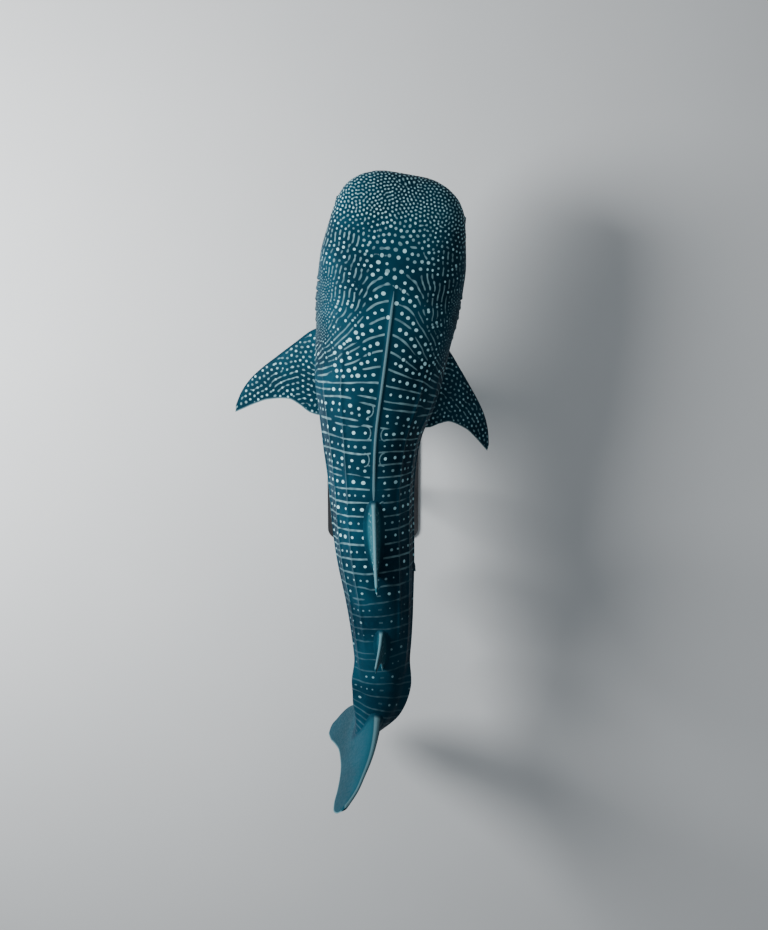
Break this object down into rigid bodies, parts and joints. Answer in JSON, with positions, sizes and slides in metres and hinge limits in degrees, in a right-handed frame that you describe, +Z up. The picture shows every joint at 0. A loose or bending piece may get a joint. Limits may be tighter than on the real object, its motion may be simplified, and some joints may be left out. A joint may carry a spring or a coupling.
{
  "type": "whale shark display model",
  "caption": "Life-size whale shark swimming with its tail swept to the left, broad flat spotted head and long body, on a flat base with short rods.",
  "frame": {"origin": "middle of the underside of the stand's base, on the floor", "axes": "+Z up; the head points to -Y and the tail to +Y; the shark's left side is +X"},
  "size_m": [2.5807, 5.8142, 2.3941],
  "materials": {
    "skin": "satin dark blue-grey skin with pale spots and bars, white below",
    "eye": "glossy dark eye",
    "stand": "satin black paint"
  },
  "bodies": {
    "root": {"head": "skin", "lower_jaw": "skin", "trunk_front": "skin", "trunk_rear": "skin", "tail_front": "skin", "tail_stalk": "skin", "pectoral_fin_left": "skin", "pectoral_fin_right": "skin", "pelvic_fin_left": "skin", "pelvic_fin_right": "skin", "dorsal_fin_first": "skin", "dorsal_fin_second": "skin", "anal_fin": "skin", "caudal_fin_upper_lobe": "skin", "caudal_fin_lower_lobe": "skin", "eye_left": "eye", "eye_right": "eye", "stand_base": "stand", "stand_rod_front": "stand", "stand_rod_rear": "stand"}
  },
  "joints": []
}
